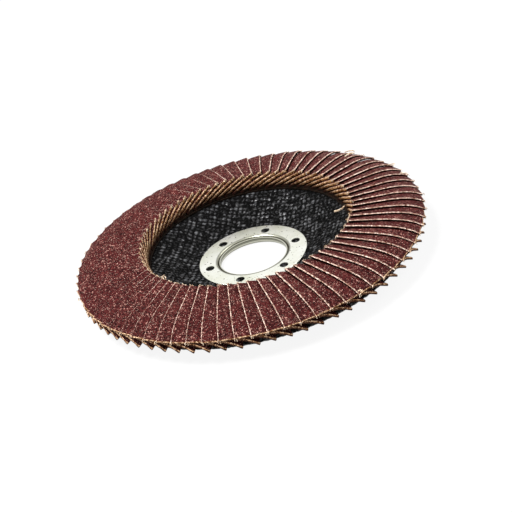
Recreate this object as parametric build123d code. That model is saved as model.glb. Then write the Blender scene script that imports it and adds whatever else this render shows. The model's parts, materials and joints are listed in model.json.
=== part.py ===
from build123d import *
from math import asin, atan2, ceil, cos, hypot, pi, radians, sin, sqrt, tan
import os

# A conical flap disc for an angle grinder, abrasive side up.
# The origin is the centre of the bore at the back face of the hub, and +Z runs
# along the bore towards the abrasive. Sizes are millimetres and angles degrees.

# Hub: two drawn steel rings, one nested in the other, clamp the plate.
bore_diameter = 22.23
ring_sheet = 0.45
ring_flange_diameter = 36.1
ring_bend_radius = 0.45
ring_sink = 0.25
collar_gap = 0.03
collar_end_gap = 0.45
ring_edge_round = 0.12
grip_hole_count = 6
grip_hole_phase = 5.9

# Grip holes: diameter and distance from the bend, as shares of the front flange's flat width.
grip_hole_width = 0.52205
grip_hole_offset = 0.40594

# Backing plate: one dished moulding of glass cloth in resin.
plate_thickness = 2.2
plate_bore_gap = 0.15
hub_flat_radius = 20.4
dish_rise = 5.5
crest_radius = 32.6
cone_angle = 9.1
foot_bend_radius = 6.0
crest_bend_radius = 3.0
rim_round = 0.7

# Adhesive bed: a cone of resin that the flap roots are set in.
bed_thickness = 0.5
bed_margin = 0.5
bond_gap = 0.05
ramp_stations = 6

# Flaps: coated cloth, laid like shingles round the cone.
flap_count = 72
flaps_per_node = 2
disc_diameter = 116.2
flap_inner_diameter = 70.6
flap_width = 12.6
flap_thickness = 0.75
flap_lead = 7.05
wall_gap = 0.47
edge_gap = 0.1
straight_power = 6
edge_fall = 2.55
edge_droop = 2.95
droop_power = 5
inner_skew = 1.4
outer_skew = 0.3
rim_overhang = 4.1
flap_stations = 6

# Sizes that follow from the ones above.
bore_radius = bore_diameter / 2
back_collar_radius = bore_radius + ring_sheet
front_collar_radius = back_collar_radius + collar_gap
plate_bore_radius = front_collar_radius + ring_sheet + plate_bore_gap
flange_flat_start = front_collar_radius + ring_sheet + ring_bend_radius
flange_flat = ring_flange_diameter / 2 - flange_flat_start
grip_hole_diameter = grip_hole_width * flange_flat
grip_hole_circle = 2 * (flange_flat_start + grip_hole_offset * flange_flat)
plate_under_hub = ring_sheet - ring_sink
plate_over_hub = plate_under_hub + plate_thickness
seat_under = plate_under_hub + ring_sink
seat_over = plate_over_hub - ring_sink
hub_top = seat_over + ring_sheet
plate_radius = disc_diameter / 2 - rim_overhang
crest_height = plate_over_hub + dish_rise
cone_slope = tan(radians(cone_angle))
pitch = 360 / flap_count
free_inner_x = sqrt((flap_inner_diameter / 2) ** 2 - flap_lead ** 2)
free_outer_x = sqrt((disc_diameter / 2) ** 2 - flap_lead ** 2)
inner_tilt = asin((flap_thickness + wall_gap) / (radians(pitch) * free_inner_x))
root_y = flap_width * cos(inner_tilt) - flap_lead
flap_third = flap_width / 3
root_inner_radius = hypot(free_inner_x - inner_skew, root_y)


def plate_height(radius):
    """Top of the plate's outer cone at a distance from the axis."""
    return crest_height - cone_slope * (radius - crest_radius)


def seat_height(radius):
    """Top of the adhesive bed at a distance from the axis."""
    return plate_height(radius) + bed_thickness


def turned(section):
    """Solid of revolution from a face drawn as distance from the axis, height."""
    return revolve(Plane.XZ * section, Axis.Z)


def backing_plate():
    """Dished plate: flat hub, a slope up to the crest and a cone down to the rim."""
    hub = (hub_flat_radius, plate_over_hub)
    crest = (crest_radius, crest_height)
    rim = (plate_radius, plate_height(plate_radius))
    top = FilletPolyline(
        (plate_bore_radius, plate_over_hub), hub, crest, rim,
        radius=[foot_bend_radius, crest_bend_radius],
    )
    section = make_face(offset(top, plate_thickness, side=Side.RIGHT))
    rim_corners = section.vertices().sort_by(Axis.X)[-2:]
    return turned(fillet(rim_corners, rim_round)) - ring_seats()


def ring_seats():
    """Shallow seats for the two ring flanges, and a chamfer that clears the front ring's bend."""
    radius = ring_flange_diameter / 2
    bend_radius = plate_bore_radius + ring_bend_radius
    low = (Align.CENTER, Align.CENTER, Align.MIN)
    high = (Align.CENTER, Align.CENTER, Align.MAX)
    over = Pos(0, 0, seat_over) * Cylinder(radius, ring_sheet, align=low)
    under = Pos(0, 0, seat_under) * Cylinder(radius, ring_sheet, align=high)
    bend = Pos(0, 0, seat_over) * Cone(plate_bore_radius, bend_radius, ring_bend_radius, align=high)
    return [over, under, bend]


def drawn_ring(collar_radius, flange_z, collar_end):
    """Steel ring drawn from sheet: a flat flange whose bore edge turns into a collar."""
    middle = collar_radius + ring_sheet / 2
    flange = (ring_flange_diameter / 2, flange_z + ring_sheet / 2)
    line = FilletPolyline(
        (middle, collar_end), (middle, flange[1]), flange,
        radius=ring_bend_radius + ring_sheet / 2,
    )
    section = trace(line, ring_sheet)
    edge = section.vertices().sort_by(Axis.X)[-2:]
    return turned(fillet(edge, ring_edge_round))


def front_ring():
    """Ring on the abrasive side, with six holes punched through its flange."""
    ring = drawn_ring(front_collar_radius, seat_over, seat_under + collar_end_gap)
    punch = Pos(0, 0, hub_top) * Cylinder(grip_hole_diameter / 2, 4 * ring_sheet)
    return ring - PolarLocations(grip_hole_circle / 2, grip_hole_count, grip_hole_phase) * punch


def back_ring():
    """Ring on the back, whose collar nests in the front one and forms the bore."""
    return drawn_ring(bore_radius, 0, hub_top - ring_bend_radius)


def flap_tilt(rise):
    """Tilt in radians that lifts a flap's free top edge this far over its root's underside."""
    return asin(rise / hypot(flap_width, flap_thickness)) - atan2(flap_thickness, flap_width)


def flap_rise_inner():
    """Height of the free top edge over the root's underside at the inner end."""
    return flap_width * sin(inner_tilt) + flap_thickness * cos(inner_tilt)


def flap_frame(share):
    """Free top corner's x, root x, top height and tilt at a share of a flap's length."""
    free_x = free_inner_x + share * (free_outer_x - free_inner_x)
    root_x = free_x - inner_skew + share * (inner_skew - outer_skew)
    seat = seat_height(hypot(root_x, root_y)) + bond_gap
    top = seat_height(root_inner_radius) + bond_gap + flap_rise_inner()
    top -= edge_fall * share + edge_droop * share ** droop_power
    return free_x, root_x, top, flap_tilt(top - seat)


def flap_bow(share):
    """Angle by which the third of a flap's width at its free edge lies flatter than its tilt.

    A flap is straight at its inner end. Further out its free edge rests close over the next
    flap, which has fallen a little further there because of the turn between them. The third
    at the root is steeper by the same angle.
    """
    free_x, _, _, tilt = flap_frame(share)
    gap = edge_gap + (wall_gap - edge_gap) * (1 - share) ** straight_power
    fall = edge_fall + edge_droop * droop_power * share ** (droop_power - 1)
    drop = fall / (free_outer_x - free_inner_x) * radians(pitch) * flap_lead
    return tilt - asin((flap_thickness + gap - drop) / (radians(pitch) * free_x))


def section_x(share, y):
    """Distance out along a flap of a place across it: the root's ends are skewed inwards."""
    free_x, root_x, _, tilt = flap_frame(share)
    return free_x + (root_x - free_x) * (y + flap_lead) / (flap_width * cos(tilt))


def flap_section(share):
    """Cross-section of a flap: a thin strip in three thirds, bowed up and tilted to its root."""
    top, tilt = flap_frame(share)[2:]
    lift = flap_third * tan(flap_bow(share))

    def corner(along, depth):
        y = along * cos(tilt) - depth * sin(tilt) - flap_lead
        return section_x(share, y), y, top - along * sin(tilt) - depth * cos(tilt)

    ridge = [(0, 0), (flap_third, -lift), (2 * flap_third, -lift), (flap_width, 0)]
    points = [corner(along, depth) for along, depth in ridge]
    points += [corner(along, depth + flap_thickness) for along, depth in reversed(ridge)]
    return Face(Wire.make_polygon(points, close=True))


def flap():
    """One flap of coated cloth, lofted along its length, drooping towards the rim."""
    last = flap_stations - 1
    shares = [sin(pi / 2 * step / last) for step in range(flap_stations)]
    return loft([flap_section(share) for share in shares])


def ramp_section(share):
    """Section of the resin wedge that fills the space under a flap, up to the next flap's root."""
    root_x, top, tilt = flap_frame(share)[1:]
    bow = flap_bow(share)
    toe_y = flap_width * cos(tilt) - flap_thickness * sin(tilt) - flap_lead
    seat = top - flap_width * sin(tilt) - flap_thickness * cos(tilt) - bond_gap
    step = radians(pitch) * root_x - bond_gap
    heel_y = toe_y - step
    run = min(step * cos(tilt) / cos(bow), flap_third)
    points = [
        (toe_y, seat),
        (toe_y - run * cos(tilt + bow), seat + run * sin(tilt + bow)),
        (heel_y, seat),
        (heel_y, seat - bed_thickness / 2),
        (toe_y, seat - bed_thickness / 2),
    ]
    return Face(Wire.make_polygon([(section_x(share, y), y, z) for y, z in points], close=True))


def adhesive_bed():
    """Cone of resin on the plate, raised into a wedge under each flap's root."""
    inner = root_inner_radius - bed_margin
    outer = plate_radius - bed_margin
    corners = [(inner, plate_height(inner)), (outer, plate_height(outer))]
    corners += [(outer, seat_height(outer)), (inner, seat_height(inner))]
    bed = turned(Face(Wire.make_polygon([(r, z, 0) for r, z in corners], close=True)))
    first_x = flap_frame(0)[1]
    last_x = sqrt((outer - bed_margin) ** 2 - root_y ** 2)
    ramp_share = (last_x - first_x) / (flap_frame(1)[1] - first_x)
    sections = [ramp_section(ramp_share * step / (ramp_stations - 1)) for step in range(ramp_stations)]
    ramp = loft(sections)
    return bed + [Rot(0, 0, pitch * k) * ramp for k in range(flap_count)]


def flap_nodes(shape):
    """Name and solids of each node of flaps, going round the disc."""
    for node in range(ceil(flap_count / flaps_per_node)):
        first = node * flaps_per_node
        members = range(first, min(first + flaps_per_node, flap_count))
        yield f"flaps_{node + 1:02d}", Compound([Rot(0, 0, pitch * k) * shape for k in members])


def main():
    os.makedirs("parts", exist_ok=True)
    nodes = {
        "backing_plate": backing_plate(),
        "front_ring": front_ring(),
        "back_ring": back_ring(),
        "adhesive_bed": adhesive_bed(),
    }
    nodes.update(flap_nodes(flap()))
    for name, shape in nodes.items():
        export_step(shape, f"parts/{name}.step")
        print(name, len(shape.solids()), "solids", round(shape.volume, 1), "mm3")


main()
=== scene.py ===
# %% [markdown]
# # A flap disc, dressed for its portrait
#
# The construction is already settled: a dished plate, two steel rings, a bed of adhesive and 72
# flaps, all at their real size. What is missing is everything that the eye reads first: grain,
# cut cloth, woven glass under black resin, and tin-plated steel. This lesson adds them, piece by
# piece, around that fixed frame.

# %% Load the fixed frame
import bpy
import json
import random
from math import atan, atan2, cos, degrees, pi, radians, sin, sqrt, tan
from mathutils import Matrix, Vector, noise
from mathutils.bvhtree import BVHTree
from mathutils.kdtree import KDTree

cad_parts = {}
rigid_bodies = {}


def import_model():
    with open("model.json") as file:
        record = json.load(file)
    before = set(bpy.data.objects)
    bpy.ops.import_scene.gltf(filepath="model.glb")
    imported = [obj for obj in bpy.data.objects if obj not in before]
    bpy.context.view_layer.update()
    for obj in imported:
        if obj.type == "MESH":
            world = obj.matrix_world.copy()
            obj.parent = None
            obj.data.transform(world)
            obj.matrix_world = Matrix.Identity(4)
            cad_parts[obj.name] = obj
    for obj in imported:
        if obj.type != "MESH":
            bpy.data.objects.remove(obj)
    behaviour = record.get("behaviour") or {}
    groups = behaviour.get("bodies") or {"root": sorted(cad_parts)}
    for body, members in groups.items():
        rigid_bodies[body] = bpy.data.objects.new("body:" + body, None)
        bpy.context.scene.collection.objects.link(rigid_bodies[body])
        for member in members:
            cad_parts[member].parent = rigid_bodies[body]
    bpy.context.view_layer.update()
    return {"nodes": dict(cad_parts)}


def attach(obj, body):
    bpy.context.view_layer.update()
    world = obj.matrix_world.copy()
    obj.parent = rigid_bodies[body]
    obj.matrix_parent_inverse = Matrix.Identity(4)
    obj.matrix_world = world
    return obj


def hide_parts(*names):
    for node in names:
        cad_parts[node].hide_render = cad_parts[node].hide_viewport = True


for left_over in list(bpy.data.objects):
    bpy.data.objects.remove(left_over)
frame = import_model()
MM = 0.001

# %% [markdown]
# ## The camera
#
# A camera can be placed by eye, but circles tell its pose exactly: the bore, the ring and the rim
# are circles of known size, and how flat each looks in the picture gives the height of the eye.
# They were measured once, and the camera is set from two angles, a distance and a small shift of
# the picture.

# %% Place the camera
EYE_HEIGHT = radians(29.3)
EYE_ROLL = radians(-15.49)
EYE_DISTANCE = 522.52 * MM
FOCAL_PIXELS = 1600
PICTURE_PIXELS = 512
SHIFT_PIXELS = (3.1, -2.1)
HUB_TOP = 2.75 * MM

look_back = Vector((0, -cos(EYE_HEIGHT), sin(EYE_HEIGHT)))
level_right = Vector((1, 0, 0))
level_up = look_back.cross(level_right)
right = level_right * cos(EYE_ROLL) + level_up * sin(EYE_ROLL)
up = look_back.cross(right)
camera_data = bpy.data.cameras.new("camera")
camera_data.sensor_width = 36
camera_data.lens = camera_data.sensor_width * FOCAL_PIXELS / PICTURE_PIXELS
camera_data.shift_x = SHIFT_PIXELS[0] / PICTURE_PIXELS
camera_data.shift_y = SHIFT_PIXELS[1] / PICTURE_PIXELS
camera_data.clip_start = 0.01
camera = bpy.data.objects.new("camera", camera_data)
bpy.context.scene.collection.objects.link(camera)
turn = Matrix((right, up, look_back)).transposed().to_4x4()
camera.matrix_world = Matrix.Translation(look_back * EYE_DISTANCE + Vector((0, 0, HUB_TOP))) @ turn
bpy.context.scene.camera = camera
print("camera at", [round(c / MM) for c in camera.location])

# %% [markdown]
# ## Small helpers for materials
#
# Every finish below is a small tree of nodes. It could be wired by hand in the shader editor, but
# in a script a few helpers keep the trees readable: one adds a node and fills in its values, one
# makes a material whose shader is already in place, and the others wrap the nodes used most.

# %% Define the material helpers


def add_node(material, kind, **values):
    """Adds a node. in_0 is its first input, and in other names an underscore stands for a space."""
    node = material.node_tree.nodes.new(kind)
    for name, value in values.items():
        if hasattr(node, name):
            setattr(node, name, value)
            continue
        socket = node.inputs[int(name[3:]) if name.startswith("in_") else name.replace("_", " ")]
        if isinstance(value, bpy.types.NodeSocket):
            material.node_tree.links.new(value, socket)
        else:
            socket.default_value = value
    return node


def new_material(name, roughness, metallic=0.0, specular=0.5):
    """A material with a Principled shader, and that shader."""
    material = bpy.data.materials.new(name)
    material.use_nodes = True
    shader = material.node_tree.nodes["Principled BSDF"]
    shader.inputs["Roughness"].default_value = roughness
    shader.inputs["Metallic"].default_value = metallic
    shader.inputs["Specular IOR Level"].default_value = specular
    return material, shader


def place(material):
    """Where a point lies on the object."""
    return add_node(material, "ShaderNodeTexCoord").outputs["Object"]


def clouds(material, vector, scale, detail):
    """A soft pattern of about 0.2 to 0.8, whose patches are about 1 / scale metres across."""
    return add_node(
        material, "ShaderNodeTexNoise", Vector=vector, Scale=scale, Detail=detail,
    ).outputs["Fac"]


def maths(material, operation, first, second):
    """Works out a value from two others."""
    return add_node(
        material, "ShaderNodeMath", operation=operation, in_0=first, in_1=second,
    ).outputs[0]


def between(material, value, low, high, start=0.0, end=1.0):
    """Goes evenly from start to end while a value goes from low to high."""
    return add_node(
        material, "ShaderNodeMapRange", in_0=value, in_1=low, in_2=high, in_3=start, in_4=end,
    ).outputs[0]


def ramp(material, factor, *stops):
    """A colour ramp over a factor, with (position, colour) stops."""
    node = add_node(material, "ShaderNodeValToRGB", Fac=factor)
    elements = node.color_ramp.elements
    while len(elements) < len(stops):
        elements.new(0.5)
    for element, (position, colour) in zip(elements, stops):
        element.position = position
        element.color = (*colour, 1)
    return node.outputs["Color"]


def mix(material, factor, first, second, blend="MIX"):
    """Mixes two colours."""
    node = material.node_tree.nodes.new("ShaderNodeMix")
    node.data_type = "RGBA"
    node.blend_type = blend
    for socket, value in zip((node.inputs[0], node.inputs[6], node.inputs[7]), (factor, first, second)):
        if isinstance(value, bpy.types.NodeSocket):
            material.node_tree.links.new(value, socket)
        elif isinstance(value, (int, float)):
            socket.default_value = value
        else:
            socket.default_value = (*value, 1)
    return node.outputs[2]


def set_colour(material, shader, colour):
    """Gives the shader its colour."""
    material.node_tree.links.new(colour, shader.inputs["Base Color"])


def bump(material, shader, height, strength, distance):
    """Makes the shader follow a height."""
    node = add_node(material, "ShaderNodeBump", Strength=strength, Distance=distance, Height=height)
    material.node_tree.links.new(node.outputs["Normal"], shader.inputs["Normal"])


print("material helpers ready")

# %% [markdown]
# ## The abrasive face
#
# The upper face of a flap is crushed aluminium oxide, dyed maroon, set in resin. Close up it is a
# field of angular grains: most are wine red, a few are pale where light catches a broken face, and
# dark resin shows between them. Those pale glints are painted highlights. Cells of a Voronoi texture
# have that angular look, which smooth noise doesn't, and two sizes of cell keep it from looking like
# a tiling. Here and there the grain has broken away along an edge, and bare cloth shows.

# %% Make the grain finish
BARE_CLOTH = (0.86, 0.66, 0.52)
GLINT = (0.62, 0.42, 0.34)


def grain_finish():
    material, shader = new_material("abrasive_grain", roughness=0.7, specular=0.05)
    spot = place(material)
    cells = add_node(material, "ShaderNodeTexVoronoi", Vector=spot, Scale=2900.0)
    tone = add_node(material, "ShaderNodeSeparateColor", Color=cells.outputs["Color"])
    colour = ramp(
        material, tone.outputs["Red"],
        (0.0, (0.006, 0.001, 0.001)), (0.45, (0.052, 0.009, 0.009)),
        (0.92, (0.098, 0.019, 0.017)), (1.0, (0.42, 0.22, 0.18)),
    )
    small_cells = add_node(material, "ShaderNodeTexVoronoi", Vector=spot, Scale=7000.0)
    small_tone = add_node(material, "ShaderNodeSeparateColor", Color=small_cells.outputs["Color"])
    # Painted highlight: a few small cells take the pale glint colour.
    colour = mix(material, between(material, small_tone.outputs["Green"], 0.965, 0.995), colour, GLINT)
    shade = ramp(
        material, clouds(material, spot, 260.0, 4.0),
        (0.3, (0.72, 0.72, 0.72)), (0.7, (1.2, 1.16, 1.16)),
    )
    colour = mix(material, 1.0, colour, shade, "MULTIPLY")
    near_edge = add_node(material, "ShaderNodeAttribute", attribute_name="worn").outputs["Fac"]
    wear = maths(material, "ADD", near_edge, clouds(material, spot, 1300.0, 3.0))
    colour = mix(material, between(material, wear, 1.58, 1.66), colour, BARE_CLOTH)
    set_colour(material, shader, colour)
    bump(material, shader, cells.outputs["Distance"], 0.55, 0.22 * MM)
    return material


GRAIN = grain_finish()
print("made", GRAIN.name)

# %% [markdown]
# ## The cut cloth
#
# Where a flap was cut, its cloth shows: cotton and polyester threads in a tan resin, end on. The
# long free edge is the palest thing on the disc, a pinkish cream line, since the knife breaks the
# grains there and leaves bare fibre. At the inner ends the threads are golden, and the back of the
# cloth is dark with resin, so each flap looks like a thin pale line over a dark one. Under the pale
# line of the free edge, and in the cloth layers of the outer ends, the cloth is painted dark as
# painted shade, and its underside is painted darker still, also painted shade. Towards the foot of
# the inner wall the ends turn darker. One picture of threads could be laid over all of these, but
# one finish for each layer is simpler to tune: they share a recipe of small dots, wear and stains,
# and differ in their colours.

# %% Make the cloth finishes
# The colour that the ends turn to towards the foot of the inner wall.
FOOT_COLOUR = (0.016, 0.006, 0.004)
UNCHANGED = (1.0, 1.0, 1.0)


def distance_from_axis(material, spot):
    """How far a point lies from the disc's axis, and its height."""
    parts = add_node(material, "ShaderNodeSeparateXYZ", Vector=spot).outputs
    level = add_node(material, "ShaderNodeCombineXYZ", X=parts["X"], Y=parts["Y"]).outputs[0]
    length = add_node(material, "ShaderNodeVectorMath", operation="LENGTH", in_0=level)
    return length.outputs["Value"], parts["Z"]


def foot_of_inner_wall(material, spot):
    """1 at the foot of the inner wall, fading to 0 further up and out."""
    away, height = distance_from_axis(material, spot)
    inner = between(material, away, 38.0 * MM, 37.0 * MM)
    low = between(material, height, 11.6 * MM, 9.2 * MM)
    return maths(material, "MULTIPLY", inner, low)


def thread_finish(name, pale, deep, scale, worn=(0.5, 0.46, 0.42), darker_at_foot=False):
    """Cut thread ends: pale dots in a darker binder, worn or dirty in places."""
    material, shader = new_material(name, roughness=0.85, specular=0.03)
    spot = place(material)
    ends = add_node(material, "ShaderNodeTexVoronoi", Vector=spot, Scale=scale).outputs["Distance"]
    colour = ramp(material, ends, (0.15, pale), (0.75, deep))
    wear = ramp(material, clouds(material, spot, 1200.0, 3.0), (0.40, worn), (0.54, UNCHANGED))
    colour = mix(material, 1.0, colour, wear, "MULTIPLY")
    stains = ramp(
        material, clouds(material, spot, 2600.0, 2.0),
        (0.4, (0.36, 0.28, 0.24)), (0.52, UNCHANGED), (0.68, (1.4, 1.4, 1.4)),
    )
    colour = mix(material, 1.0, colour, stains, "MULTIPLY")
    # Darker towards the foot of the inner wall.
    if darker_at_foot:
        colour = mix(material, foot_of_inner_wall(material, spot), colour, FOOT_COLOUR)
    set_colour(material, shader, colour)
    bump(material, shader, ends, -0.4, 0.1 * MM)
    return material


CUT_EDGE = thread_finish(
    "cut_edge", pale=(0.97, 0.82, 0.72), deep=(0.62, 0.42, 0.33), scale=3600.0, worn=(0.42, 0.30, 0.26),
)
# Painted shade: the layers under the pale top of the free edge are painted nearly black.
FREE_EDGE_SHADE = thread_finish(
    "free_edge_painted_shade", pale=(0.014, 0.005, 0.004), deep=(0.005, 0.002, 0.0015), scale=3400.0,
)
# The cut end of the grain layer, dark brown. The outer ends also use it on their cloth layers, as painted
# shade.
GRAIN_END_AND_SHADE = thread_finish(
    "grain_end_and_painted_shade", pale=(0.16, 0.075, 0.045), deep=(0.025, 0.010, 0.007), scale=3400.0, darker_at_foot=True,
)
CLOTH_END = thread_finish(
    "cloth_end", pale=(0.92, 0.68, 0.46), deep=(0.46, 0.27, 0.14), scale=3000.0,
    worn=(0.36, 0.24, 0.16), darker_at_foot=True,
)
BACK_END = thread_finish(
    "back_end", pale=(0.66, 0.36, 0.14), deep=(0.24, 0.10, 0.035), scale=3000.0,
    worn=(0.20, 0.12, 0.08), darker_at_foot=True,
)
LOOSE_FIBRE = thread_finish(
    "loose_fibre", pale=(0.95, 0.86, 0.72), deep=(0.80, 0.62, 0.44), scale=2000.0, worn=(0.8, 0.7, 0.6),
)
# The back of the cloth, seen from below: dark with resin, and painted darker still as the shade in the gaps
# between flaps.
CLOTH_BACK_AND_SHADE = thread_finish(
    "cloth_back_and_painted_shade", pale=(0.11, 0.055, 0.030), deep=(0.035, 0.016, 0.010), scale=2400.0,
)
print("made the cloth finishes")

# %% [markdown]
# ## One flap
#
# A flap is a piece of coated cloth, 12.6 by 24 mm and 0.75 mm thick. It stands on its root, leans
# on the flap behind it, lies flat where its free edge presses on that flap, and droops over its
# last few millimetres. It could be bent with modifiers, but a grid bent by hand is simpler to
# steer: each row of its points is one section, bent twice, tilted and moved to where the fixed
# frame says.

# %% Read a flap's sections from the frame
FLAP_THICKNESS = 0.75 * MM
FLAP_WIDTH = 12.6 * MM
FLAP_REACH = 0.91 * FLAP_WIDTH  # its width as seen from above
FREE_EDGE_Y = -7.05 * MM
FREE_EDGE_X = (34.55 * MM, 57.67 * MM)
END_SKEW = (1.4 * MM, 0.3 * MM)
END_MARGIN = 0.006  # the frame is read this share of the length inside a flap's ends
FREE_PROBES = (-6.6 * MM, -4.0 * MM)
ROOT_PROBES = (1.7 * MM, 3.4 * MM)
SETTLING = radians(3.2)  # how much flatter than in the frame the free edge lies at the rim
cad_flap = frame["nodes"]["flaps_01"]


def underside(x, y):
    """The point of the first flap's underside above a place."""
    hit, point = cad_flap.ray_cast(Vector((x, y, -1)), Vector((0, 0, 1)))[:2]
    assert hit, "no flap there"
    return point


def section(share):
    """Free top corner, slopes at the free edge and the root, and skew, at a share of the length."""
    inside = min(max(share, END_MARGIN), 1 - END_MARGIN)
    free_x, probe_x = (FREE_EDGE_X[0] + s * (FREE_EDGE_X[1] - FREE_EDGE_X[0]) for s in (share, inside))
    skew = (END_SKEW[0] + share * (END_SKEW[1] - END_SKEW[0])) / FLAP_REACH

    def slope(probes):
        near, far = (underside(probe_x - skew * (y - FREE_EDGE_Y), y) for y in probes)
        return near, atan2(near.z - far.z, far.y - near.y)

    near, free_slope = slope(FREE_PROBES)
    free_slope -= SETTLING * share ** 2
    root_slope = slope(ROOT_PROBES)[1] + SETTLING * share ** 2
    tilt = (free_slope + root_slope) / 2
    corner_y = FREE_EDGE_Y - FLAP_THICKNESS * sin(tilt)
    corner_z = near.z + (near.y - corner_y) * tan(free_slope) + FLAP_THICKNESS * cos(tilt)
    return Vector((free_x, FREE_EDGE_Y, corner_z)), free_slope, root_slope, skew


for share in (0, 0.25, 0.5, 0.8, 1):
    corner, free_slope, root_slope, skew = section(share)
    slopes = [round(degrees(angle), 1) for angle in (free_slope, root_slope)]
    print("share", share, "free edge height", round(corner.z / MM, 2), "slopes", slopes)

# %% Start from a grid and bend each of its rows
LENGTH_CELLS = 64
WIDTH_CELLS = 24
BENDS = (0.26, 0.33, 0.40, 0.60, 0.67, 0.74)  # shares of the width where a row bends


def edit(piece):
    """Makes a piece the only selected one and opens it for editing."""
    bpy.ops.object.select_all(action="DESELECT")
    piece.select_set(True)
    bpy.context.view_layer.objects.active = piece
    bpy.ops.object.mode_set(mode="EDIT")


def select_points(piece, numbers):
    """Selects the points of an open piece that have these numbers, and gives the first one's place."""
    bpy.ops.mesh.select_mode(type="VERT")
    bpy.ops.mesh.select_all(action="DESELECT")
    bpy.ops.object.mode_set(mode="OBJECT")
    for number in numbers:
        piece.data.vertices[number].select = True
    first = piece.data.vertices[numbers[0]].co.copy()
    bpy.ops.object.mode_set(mode="EDIT")
    return first


bpy.ops.object.select_all(action="DESELECT")
bpy.ops.mesh.primitive_grid_add(x_subdivisions=LENGTH_CELLS, y_subdivisions=WIDTH_CELLS, size=1)
flap = bpy.context.object
flap.name = "flap_pattern"
edit(flap)
bpy.ops.transform.translate(value=(0.5, 0.5, 0))
bpy.ops.object.mode_set(mode="OBJECT")
rows = [[] for row in range(LENGTH_CELLS + 1)]
for vertex in sorted(flap.data.vertices, key=lambda vertex: vertex.co.y):
    rows[round(vertex.co.x * LENGTH_CELLS)].append(vertex.index)
edit(flap)
for row, points in enumerate(rows):
    corner, free_slope, root_slope, skew = section(row / LENGTH_CELLS)
    bow = (root_slope - free_slope) / 2
    foot = select_points(flap, points)
    path = FLAP_WIDTH * (1 + 2 / cos(bow)) / 3
    bpy.ops.transform.resize(value=(1, path, 1), center_override=foot)
    bpy.ops.transform.rotate(value=free_slope, orient_axis="X", center_override=foot)
    for bend in BENDS:
        hinge = select_points(flap, points[round(bend * WIDTH_CELLS):])
        bpy.ops.transform.rotate(value=bow * 2 / len(BENDS), orient_axis="X", center_override=hinge)
    select_points(flap, points)
    bpy.ops.transform.rotate(value=-atan(skew), orient_axis="Z", center_override=foot)
    bpy.ops.transform.translate(value=corner - foot)
bpy.ops.object.mode_set(mode="OBJECT")
lowest = [min(v.co[axis] for v in flap.data.vertices) / MM for axis in range(3)]
highest = [max(v.co[axis] for v in flap.data.vertices) / MM for axis in range(3)]
print("flap sheet from", [round(c, 2) for c in lowest], "to", [round(c, 2) for c in highest])

# %% [markdown]
# ## Its layers
#
# A flap is three layers in one sheet: grain in resin, cloth, and the resin-dark back of the cloth.
# They could be three thin pieces laid on each other, but then light would find the gaps, so one
# sheet is extruded three times and the band that each layer leaves is painted. The inner end shows
# all three. The outer end is dark all through, and so is the free edge under its topmost layer:
# below the grain, that dark is painted shade. Then the three cut edges of the upper face are
# chamfered by a quarter of a millimetre, and the chamfer is bare cloth: this is the pale line that
# outlines every flap from every side.

# %% Pour the layers
FINISHES = (GRAIN, CUT_EDGE, FREE_EDGE_SHADE, GRAIN_END_AND_SHADE, CLOTH_END, BACK_END, CLOTH_BACK_AND_SHADE)
LAYERS = ((GRAIN_END_AND_SHADE, 0.26 * MM), (CLOTH_END, 0.14 * MM), (BACK_END, 0.35 * MM))
TOLERANCE = 0.01 * MM


def places(numbers):
    """Where the flap's points of these numbers lie."""
    return [flap.data.vertices[number].co.copy() for number in numbers]


for finish in FINISHES:
    flap.data.materials.append(finish)
outline = rows[0] + rows[-1] + [points[0] for points in rows]
outline_points = KDTree(len(outline))
for number, spot in zip(outline, places(outline)):
    outline_points.insert(spot, number)
outline_points.balance()
end_points = [places(points[:WIDTH_CELLS * 2 // 3]) for points in (rows[0], rows[-1])]
sheet_faces = [list(face.vertices) for face in flap.data.polygons]
sheet = BVHTree.FromPolygons(places(range(len(flap.data.vertices))), sheet_faces)
edit(flap)
bpy.ops.mesh.select_all(action="SELECT")
bpy.ops.mesh.normals_make_consistent(inside=False)
for _, depth in LAYERS:
    bpy.ops.mesh.extrude_region_shrink_fatten(TRANSFORM_OT_shrink_fatten={"value": -depth})
bpy.ops.mesh.select_all(action="SELECT")
bpy.ops.mesh.normals_make_consistent(inside=False)
bpy.ops.object.mode_set(mode="OBJECT")


def finish_of(face):
    """A flap face's finish, from the way it looks and its depth under the upper face."""
    depth = sheet.find_nearest(face.center)[3]
    if depth < TOLERANCE:
        return GRAIN
    # The underside and the root edge: resin-dark cloth, painted darker still as shade.
    if face.normal.y > 0.5 or depth > FLAP_THICKNESS - TOLERANCE:
        return CLOTH_BACK_AND_SHADE
    for finish, thickness in LAYERS:
        depth -= thickness
        if depth < 0:
            break
    # The free edge: its topmost layer is pale cut cloth, and the layers under it are painted nearly black as
    # painted shade.
    if face.normal.y < -0.5:
        return CUT_EDGE if finish is GRAIN_END_AND_SHADE else FREE_EDGE_SHADE
    # The outer end is dark all through: its cloth layers take the grain end's colour as painted shade.
    return GRAIN_END_AND_SHADE if face.normal.x > 0.5 else finish


for face in flap.data.polygons:
    face.material_index = FINISHES.index(finish_of(face))
print("flap measures", [round(c / MM, 2) for c in flap.dimensions])

# %% Chamfer the worn edges
WORN_EDGE = 0.24 * MM
edit(flap)
select_points(flap, [v.index for v in flap.data.vertices if outline_points.find(v.co)[2] < TOLERANCE])
bpy.ops.mesh.bevel(offset=WORN_EDGE, segments=1, material=FINISHES.index(CUT_EDGE))
bpy.ops.object.mode_set(mode="OBJECT")
for face in flap.data.polygons:
    if FINISHES[face.material_index] is CUT_EDGE and abs(face.normal.x) > abs(face.normal.y):
        face.material_index = FINISHES.index(CLOTH_END)
used = [FINISHES[face.material_index].name for face in flap.data.polygons]
print("faces of each finish:", {finish.name: used.count(finish.name) for finish in FINISHES})

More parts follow.
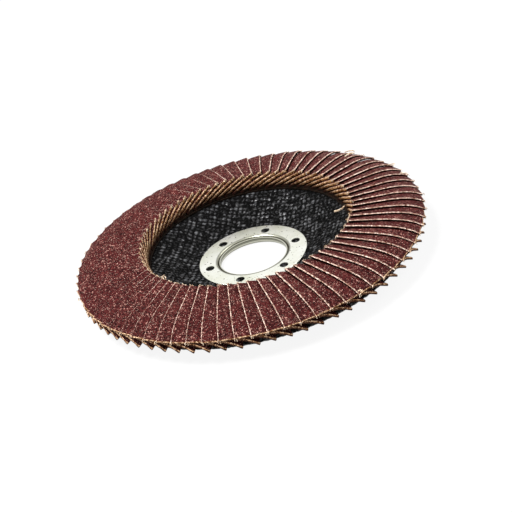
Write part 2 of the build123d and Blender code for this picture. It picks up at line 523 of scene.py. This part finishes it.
# %% [markdown]
# ## Nothing is straight
#
# Grain is gritty and cut cloth is ragged, so neither a flat face nor a ruled edge will do. A bump
# in the material can't change an outline, so points are really moved, by a cloudy pattern: those
# of the upper face a little in and out, and those of the cut edges along and across the flap.

# %% Roughen the grain and the cut edges
WORN_REACH = 0.3 * MM  # how far in from an edge the grain may have broken away
grain_points = flap.vertex_groups.new(name="grain")
edge_points = flap.vertex_groups.new(name="edge")
for face in flap.data.polygons:
    finish = FINISHES[face.material_index]
    if finish is GRAIN:
        grain_points.add(list(face.vertices), 1.0, "REPLACE")
    elif finish is not CLOTH_BACK_AND_SHADE:
        edge_points.add(list(face.vertices), 1.0, "REPLACE")


def roughen(piece, group, direction, depth, size):
    """Moves a group of points by a cloudy pattern, up to half the depth each way."""
    pattern = bpy.data.textures.new(f"{group}_{direction}", "CLOUDS")
    pattern.noise_scale = size
    modifier = piece.modifiers.new("rough", "DISPLACE")
    modifier.texture = pattern
    modifier.vertex_group = group
    modifier.direction = direction
    modifier.strength = depth
    modifier.mid_level = 0.5
    bpy.context.view_layer.objects.active = piece
    bpy.ops.object.modifier_apply(modifier="rough")


roughen(flap, "grain", "NORMAL", depth=0.14 * MM, size=0.5 * MM)
roughen(flap, "edge", "Y", depth=0.22 * MM, size=0.9 * MM)
roughen(flap, "edge", "X", depth=0.34 * MM, size=0.8 * MM)
flap.vertex_groups.clear()
worn = [float(outline_points.find(vertex.co)[2] < WORN_REACH) for vertex in flap.data.vertices]
flap.data.attributes.new("worn", "FLOAT", "POINT").data.foreach_set("value", worn)
print("roughened", flap.name, "with", round(sum(worn)), "worn points")

# %% [markdown]
# ## A loose fibre
#
# Where cloth is cut, threads pull loose and curl. A particle system could grow them, but a few on
# each flap are enough, and made by hand they stay light: a five-sided circle is extruded four
# times and turned a little each time. Copies of it, larger or smaller, make every fray.

# %% Spin one loose fibre
FIBRE_RADIUS = 0.045 * MM
FIBRE_STEP = 0.2 * MM
CURLS = (0.2, 0.35, 0.5, 0.3)
bpy.ops.object.select_all(action="DESELECT")
bpy.ops.mesh.primitive_circle_add(vertices=5, radius=FIBRE_RADIUS, fill_type="NGON")
fibre = bpy.context.object
fibre.name = "fibre_pattern"
edit(fibre)
bpy.ops.mesh.select_all(action="SELECT")
fibre_tip, heading = Vector((0, 0, 0)), 0.0
for curl in CURLS:
    step = Vector((sin(heading), 0, cos(heading))) * FIBRE_STEP
    bpy.ops.mesh.extrude_region_move(TRANSFORM_OT_translate={"value": step})
    fibre_tip, heading = fibre_tip + step, heading + curl
    bpy.ops.transform.rotate(value=-curl, orient_axis="Y", center_override=fibre_tip)
bpy.ops.object.mode_set(mode="OBJECT")
fibre.data.materials.append(LOOSE_FIBRE)
print("fibre measures", [round(c / MM, 2) for c in fibre.dimensions])

# %% [markdown]
# ## Seventy-two of them
#
# Every flap was laid by a machine, but cloth isn't steel: each one sits a hair further round,
# leans a little more or less, and its ends were cut a little long or short. An array modifier
# would make them all alike, so each copy gets its own mesh and its own small error, drawn from a
# seeded dice so that the disc is the same each run. Loose fibres are joined to its ends, and
# short fat ones to the corners of its free edge.

# %% Lay the flaps round the disc
FLAP_COUNT = 72
PITCH = 2 * pi / FLAP_COUNT
ROOT_LINE = Vector((0, 4.5 * MM, 6.5 * MM))
FIBRES_PER_FLAP = 7
FRAYS_AT_CORNERS = ((0, 6), (-1, 3))  # inner and outer end, and how many frays each corner has
FAT_AND_SHORT = Matrix.Diagonal((2.4, 2.4, 0.55, 1))
chance = random.Random(72)


def loose_fibre(matrix):
    """A copy of the fibre, moved to its place."""
    strand = fibre.copy()
    strand.data = fibre.data.copy()
    bpy.context.scene.collection.objects.link(strand)
    strand.data.transform(matrix)
    return strand


def pulled_fibre():
    """A fibre that stands out somewhere along one of the flap's ends, mostly the inner one."""
    outward = 1 if chance.random() < 0.3 else -1
    tilt = Matrix.Rotation(outward * radians(chance.uniform(65, 120)), 4, "Y")
    twist = Matrix.Rotation(chance.uniform(-pi, pi), 4, "Z") @ Matrix.Scale(chance.uniform(0.4, 0.7), 4)
    sideways = Matrix.Rotation(radians(chance.uniform(-50, 50)), 4, "Z")
    start = chance.choice(end_points[-1 if outward > 0 else 0])
    return loose_fibre(Matrix.Translation(start) @ sideways @ tilt @ twist)


def fray(corner):
    """A short fat fibre that lies near a corner."""
    around = Matrix.Rotation(chance.uniform(-pi, pi), 4, "Z")
    down = Matrix.Rotation(radians(chance.uniform(70, 110)), 4, "Y")
    aside = Vector((chance.uniform(-0.15, 0.25), chance.uniform(-0.15, 0.25), 0)) * MM
    return loose_fibre(Matrix.Translation(corner + aside) @ around @ down @ FAT_AND_SHORT)


def join(piece, parts):
    """Joins parts to a piece."""
    bpy.ops.object.select_all(action="DESELECT")
    for part in [piece, *parts]:
        part.select_set(True)
    bpy.context.view_layer.objects.active = piece
    bpy.ops.object.join()


flaps = []
for index in range(FLAP_COUNT):
    piece = flap.copy()
    piece.data = flap.data.copy()
    piece.name = f"flap_{index + 1:02d}"
    bpy.context.scene.collection.objects.link(piece)
    lean = Matrix.Rotation(radians(chance.uniform(-0.3, 0.1)), 4, "X")
    slide = Matrix.Translation((chance.uniform(-0.16, 0.16) * MM, 0, 0))
    about_root = Matrix.Translation(ROOT_LINE) @ lean @ Matrix.Translation(-ROOT_LINE)
    spin = Matrix.Rotation(index * PITCH + radians(chance.uniform(-0.15, 0.15)), 4, "Z")
    fibres = [pulled_fibre() for loose in range(FIBRES_PER_FLAP)]
    for end, frays in FRAYS_AT_CORNERS:
        fibres += [fray(end_points[end][loose // 2]) for loose in range(frays)]
    join(piece, fibres)
    piece.data.transform(spin @ slide @ about_root)
    flaps.append(piece)
bpy.data.objects.remove(flap)
print("laid", len(flaps), "flaps")

# %% [markdown]
# ## Stray threads
#
# The photo shows a few threads that lie across the flaps, and one that hangs over the plate. They
# are the same fibre again, stretched from a start to an end and joined to the nearest flap.

# %% Drop a few stray threads
# Start and end of each thread, in mm.
STRAY_THREADS = (
    ((34.1, 6.0, 8.2), (29.3, 3.0, 8.2)), ((32.5, -12.4, 13.6), (31.1, -14.0, 13.6)),
    ((39.8, 37.0, 11.0), (43.0, 35.8, 11.0)), ((39.1, 32.0, 11.9), (42.6, 32.5, 11.9)),
    ((40.0, 35.0, 11.1), (42.4, 34.5, 11.1)), ((51.5, 20.9, 10.1), (54.0, 20.3, 10.1)),
    ((51.5, 19.8, 10.7), (52.9, 19.8, 10.7)), ((54.2, 12.9, 10.1), (56.3, 10.8, 10.1)),
    ((-29.4, -18.9, 13.9), (-28.4, -17.7, 13.9)), ((-29.3, -18.0, 13.9), (-28.3, -20.0, 13.9)),
    ((-29.8, -18.2, 13.9), (-29.1, -20.1, 13.9)), ((-13.6, 33.0, 12.0), (-12.8, 33.9, 12.0)),
    ((26.9, -50.9, 9.1), (28.6, -50.0, 9.1)), ((27.2, -49.9, 9.2), (28.3, -51.2, 9.0)),
    ((27.7, -49.4, 9.2), (27.8, -51.2, 9.0)), ((26.8, -50.2, 9.2), (28.4, -50.8, 9.0)),
)
for start, end in STRAY_THREADS:
    run = (Vector(end) - Vector(start)) * MM
    heading = atan2(run.y, run.x) - atan2(fibre_tip.z, fibre_tip.x)
    flat = Matrix.Rotation(heading, 4, "Z") @ Matrix.Rotation(-pi / 2, 4, "X")
    stretch = Matrix.Scale(run.length / fibre_tip.length, 4)
    strand = loose_fibre(Matrix.Translation(Vector(start) * MM) @ flat @ stretch)
    join(flaps[round(atan2(start[1], start[0]) / PITCH) % FLAP_COUNT], [strand])
bpy.data.objects.remove(fibre)
for index, piece in enumerate(flaps):
    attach(piece, "root")
    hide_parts(f"flaps_{index // 2 + 1:02d}")
print("dropped", len(STRAY_THREADS), "stray threads")

# %% [markdown]
# ## The backing plate
#
# The plate is glass cloth soaked in black resin and pressed to shape. Its form is a turned one, so
# its section is read from the frame and a circle is extruded from point to point of it. Spin would
# do too, but needs a seam to be merged. The rows are fine, since they have to carry the weave.

# %% Read the plate's section from the frame
# Rows of points as (start, end, count), with distances from the axis in mm.
PLATE_ROWS = ((12.3, 17.4, 4), (17.4, 34.2, 84), (34.2, 53.85, 16))
BACK_ROWS = ((53.85, 17.4, 48), (17.4, 12.3, 4))
cad_plate = frame["nodes"]["backing_plate"]


def plate_point(radius, side):
    """The plate's surface at a distance from the axis: side 1 is the top and -1 the underside."""
    hit, point = cad_plate.ray_cast(Vector((radius, 0, side)), Vector((0, 0, -side)))[:2]
    assert hit, "no plate there"
    return point.x, point.z


def stations(rows):
    """Distances from the axis, in equal steps within each row."""
    for start, end, count in rows:
        yield from ((start + (end - start) * step / count) * MM for step in range(count))


plate_section = [plate_point(radius, 1) for radius in stations(PLATE_ROWS)]
plate_section += [plate_point(radius, -1) for radius in stations(BACK_ROWS)]
print("plate section of", len(plate_section), "points")

# %% Turn the section into a ring
PLATE_SEGMENTS = 620


def turned_ring(name, profile, segments):
    """Extrudes a circle from point to point of a closed profile of (radius, height)."""
    bpy.ops.object.select_all(action="DESELECT")
    radius, height = profile[0]
    bpy.ops.mesh.primitive_circle_add(vertices=segments, radius=radius, location=(0, 0, height))
    piece = bpy.context.object
    piece.name = name
    edit(piece)
    for next_radius, next_height in profile[1:] + profile[:1]:
        bpy.ops.mesh.extrude_edges_move(TRANSFORM_OT_translate={"value": (0, 0, next_height - height)})
        share = next_radius / radius
        bpy.ops.transform.resize(value=(share, share, 1), center_override=(0, 0, 0))
        radius, height = next_radius, next_height
    bpy.ops.mesh.select_all(action="SELECT")
    bpy.ops.mesh.remove_doubles(threshold=0.001 * MM)
    bpy.ops.mesh.normals_make_consistent(inside=False)
    bpy.ops.object.mode_set(mode="OBJECT")
    bpy.ops.object.transform_apply(location=True, rotation=True, scale=True)
    bpy.ops.object.shade_smooth()
    return piece


plate = turned_ring("plate", plate_section, PLATE_SEGMENTS)
print("plate has", len(plate.data.polygons), "faces and measures", [round(c / MM, 1) for c in plate.dimensions])

# %% [markdown]
# ## Its weave
#
# The cloth prints through the resin: a square weave of fat threads 1.6 mm apart, each crossing a
# small knot that catches the light. A bump only bends the light, so the weave is real relief: each
# point sinks by the depth of the weave there. The threads wander and thin out, because a perfect
# weave looks printed. The same depth drives the finish, glossy over the knots and matt in the dips,
# and its colour: greyish over the knots, partly a painted highlight, and black in the dips.

# %% Press the weave into it
WEAVE_PITCH = 1.62 * MM
WEAVE_RELIEF = 0.3 * MM
WEAVE_TURN = radians(-21)
WANDER = 0.42  # how far a thread strays, as a share of the pitch
WEAVE_SEED = 72  # unseeded, the wandering would differ from run to run


def weave(point):
    """Depth, from 0 to 1, of a plain weave."""
    drift = noise.noise_vector(point * 230)
    x = (point.x * cos(WEAVE_TURN) + point.y * sin(WEAVE_TURN)) / WEAVE_PITCH + WANDER * drift.x
    y = (point.y * cos(WEAVE_TURN) - point.x * sin(WEAVE_TURN)) / WEAVE_PITCH + WANDER * drift.y
    fill = 0.72 + 0.5 * noise.noise(point * 420) + 0.3 * noise.noise(point * 1300)

    def thread(across, along, crossing):
        number = round(across)
        roundness = sqrt(max(0, 1 - (2 * (across - number)) ** 2))
        return roundness * (0.5 + 0.5 * cos(pi * (along + number + crossing)))

    return min(max(1 - fill * max(thread(x, y, 0), thread(y, x, 1)), 0), 1)


noise.seed_set(WEAVE_SEED)
weave_height = plate.vertex_groups.new(name="weave")
depths = [weave(vertex.co) for vertex in plate.data.vertices]
for number, depth in enumerate(depths):
    weave_height.add([number], depth, "REPLACE")
press = plate.modifiers.new("press", "DISPLACE")
press.vertex_group = "weave"
press.strength = -WEAVE_RELIEF
press.mid_level = 0.0
bpy.context.view_layer.objects.active = plate
bpy.ops.object.modifier_apply(modifier="press")
plate.vertex_groups.clear()
plate.data.attributes.new("weave_depth", "FLOAT", "POINT").data.foreach_set("value", depths)
print("pressed a weave with a mean depth of", round(WEAVE_RELIEF / MM * sum(depths) / len(depths), 2), "mm")

# %% Finish the plate


def plate_finish():
    """Black resin: thin and glossy over the knots, greyish there partly as painted highlight, matt and black in
    the dips.
    """
    material, shader = new_material("black_resin", roughness=0.3, specular=0.5)
    spot = place(material)
    depth = add_node(material, "ShaderNodeAttribute", attribute_name="weave_depth").outputs["Fac"]
    sheen_and_bump_patches = clouds(material, spot, 900.0, 5.0)
    # Grey over the knots, partly painted highlight; black in the dips.
    set_colour(material, shader, ramp(
        material, maths(material, "ADD", depth, sheen_and_bump_patches),
        (0.45, (0.115, 0.118, 0.123)), (0.7, (0.034, 0.034, 0.036)), (1.0, (0.004, 0.004, 0.004)),
    ))
    beads = between(material, clouds(material, spot, 1500.0, 2.0), 0.52, 0.64)
    shine = between(material, depth, 0.15, 0.6, 1.0, 0.1)
    shine = maths(material, "MULTIPLY", shine, beads)
    material.node_tree.links.new(shine, shader.inputs["Specular IOR Level"])
    bump(material, shader, sheen_and_bump_patches, 0.5, 0.2 * MM)
    return material


plate.data.materials.append(plate_finish())
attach(plate, "root")
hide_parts("backing_plate")
print("finished", plate.name)

# %% [markdown]
# ## The steel rings
#
# The two rings keep their fixed form, so only a finish is needed. They are tin-plated sheet: a
# soft, slightly green-yellow mirror with fine scratches and a few specks of dirt. Inside the bore
# the sheet was drawn down a punch into a collar, and the shade in it is painted into the colour as
# dark and pale lines. A texture stretched round the axis could draw them, but a noise read by
# distance and height alone gives lines by itself.

# %% Finish the rings


def dress(node, material):
    """Gives a node of the frame a finish."""
    piece = frame["nodes"][node]
    piece.data.materials.clear()
    piece.data.materials.append(material)


def tin_finish():
    material, shader = new_material("tin_plate", roughness=0.3, metallic=1.0)
    spot = place(material)
    plating = ramp(
        material, clouds(material, spot, 160.0, 3.0), (0.3, (0.80, 0.82, 0.68)), (0.7, (0.97, 0.98, 0.92)),
    )
    specks = ramp(
        material, clouds(material, spot, 1100.0, 3.0), (0.30, (0.10, 0.08, 0.05)), (0.36, UNCHANGED),
    )
    plating = mix(material, 1.0, plating, specks, "MULTIPLY")
    away, height = distance_from_axis(material, spot)
    along = add_node(material, "ShaderNodeCombineXYZ", X=away, Y=height).outputs[0]
    # Painted shade inside the bore: dark and pale lines round the collar.
    bore_shade = ramp(
        material, clouds(material, along, 2600.0, 2.0),
        (0.36, (0.03, 0.03, 0.02)), (0.5, (0.22, 0.22, 0.17)), (0.64, (0.62, 0.62, 0.52)),
    )
    collar = between(material, away, 12.7 * MM, 12.2 * MM)
    set_colour(material, shader, mix(material, collar, plating, bore_shade))
    stretch = add_node(material, "ShaderNodeMapping", Vector=spot, Scale=(0.25, 1.0, 1.0))
    bump(material, shader, clouds(material, stretch.outputs["Vector"], 2200.0, 4.0), 0.12, 0.1 * MM)
    return material


tin = tin_finish()
dress("front_ring", tin)
dress("back_ring", tin)
print("dressed the rings in", tin.name)

# %% [markdown]
# ## The adhesive
#
# The flaps stand in cured resin, so dark that it only shows as a shadow between their roots. A
# plain black would do from afar, but a lumpy one with a touch of brown holds up close by.

# %% Finish the adhesive


def adhesive_finish():
    material, shader = new_material("adhesive", roughness=0.6, specular=0.1)
    lumps = clouds(material, place(material), 800.0, 3.0)
    colour = ramp(material, lumps, (0.3, (0.004, 0.003, 0.002)), (0.7, (0.018, 0.010, 0.006)))
    set_colour(material, shader, colour)
    bump(material, shader, lumps, 0.5, 0.5 * MM)
    return material


adhesive = adhesive_finish()
dress("adhesive_bed", adhesive)
print("dressed the bed in", adhesive.name)

# %% [markdown]
# ## Table, light and background
#
# The disc lies on a pale table under soft light, the way small tools are photographed for a
# catalogue. The table and the world look pure white to the camera, and lend the metal something
# white to mirror, but the lamps stay at a plain level, so the maroon stays maroon.

# %% Lay the table
TABLE_GLOW = 0.9


def rays_seen(material):
    """1 for rays from the eye, from a gloss or through glass, and 0 for light on matt surfaces."""
    rays = add_node(material, "ShaderNodeLightPath").outputs
    seen = maths(material, "MAXIMUM", rays["Is Camera Ray"], rays["Is Glossy Ray"])
    return maths(material, "MAXIMUM", seen, rays["Is Transmission Ray"])


def table_finish():
    """A white table that keeps a faint shadow: to the eye it is mostly a plain white of its own."""
    material, shader = new_material("table", roughness=0.9, specular=0.1)
    shader.inputs["Base Color"].default_value = (0.9, 0.9, 0.9, 1)
    share = maths(material, "MULTIPLY", rays_seen(material), TABLE_GLOW)
    glow = add_node(material, "ShaderNodeEmission", Color=(1, 1, 1, 1), Strength=1.0)
    both = add_node(
        material, "ShaderNodeMixShader", in_0=share, in_1=shader.outputs[0], in_2=glow.outputs[0],
    )
    output = material.node_tree.nodes["Material Output"]
    material.node_tree.links.new(both.outputs[0], output.inputs["Surface"])
    return material


bpy.ops.object.select_all(action="DESELECT")
bpy.ops.mesh.primitive_plane_add(size=4.0, location=(0, 0, -0.02 * MM))
table = bpy.context.object
table.name = "table"
bpy.ops.object.transform_apply(location=True, rotation=True, scale=True)
table.data.materials.append(table_finish())
print("laid the table")

# %% Light the stage
SKY_LIGHT = 0.23
world = bpy.data.worlds.new("studio")
bpy.context.scene.world = world
world.use_nodes = True
sky = world.node_tree.nodes["Background"]
sky.inputs["Color"].default_value = (1, 1, 1, 1)
brightness = between(world, rays_seen(world), 0.0, 1.0, SKY_LIGHT, 1.0)
world.node_tree.links.new(brightness, sky.inputs["Strength"])


def lamp(name, position, size, watts):
    """A soft square lamp that looks at the disc."""
    data = bpy.data.lights.new(name, "AREA")
    data.size = size
    data.energy = watts
    item = bpy.data.objects.new(name, data)
    bpy.context.scene.collection.objects.link(item)
    item.location = position
    item.rotation_euler = (-Vector(position)).to_track_quat("-Z", "Y").to_euler()


lamp("key", (-0.3, -0.02, 0.7), 0.32, 9.3)
lamp("fill", (0.6, 0.1, 0.45), 0.5, 3.0)
bpy.context.scene.view_settings.view_transform = "Standard"
print("stage is set")
